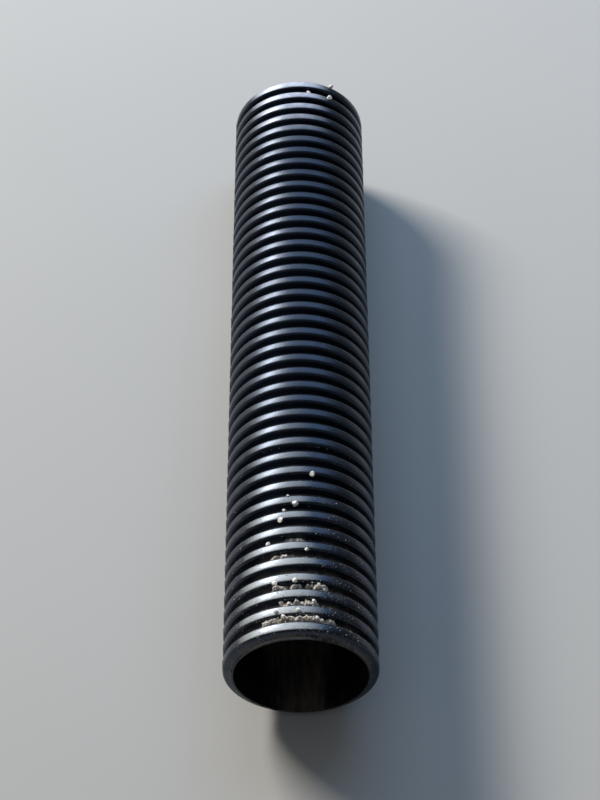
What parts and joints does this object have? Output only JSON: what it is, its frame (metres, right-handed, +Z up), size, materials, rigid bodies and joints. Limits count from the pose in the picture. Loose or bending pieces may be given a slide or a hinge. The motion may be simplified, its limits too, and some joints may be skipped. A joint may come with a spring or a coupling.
{
  "type": "corrugated drain outlet pipe",
  "caption": "Straight black corrugated drain pipe that stands out of a bank as a culvert outlet: annular ribs outside, a smooth bore inside, and both ends cut square in a valley.",
  "frame": {"origin": "centre of the bore in the plane of the bank end, where the pipe comes out of the ground", "axes": "+Y along the pipe from the bank to the outlet, +Z up, +X to the right seen from the bank"},
  "size_m": [0.1759, 0.8988, 0.176],
  "materials": {
    "pipe_wall": "semi-matt black polyethylene with a thin film of dried silt",
    "pipe_liner": "smooth satin black polyethylene"
  },
  "bodies": {
    "root": {"corrugated_wall": "pipe_wall", "smooth_liner": "pipe_liner"}
  },
  "joints": []
}
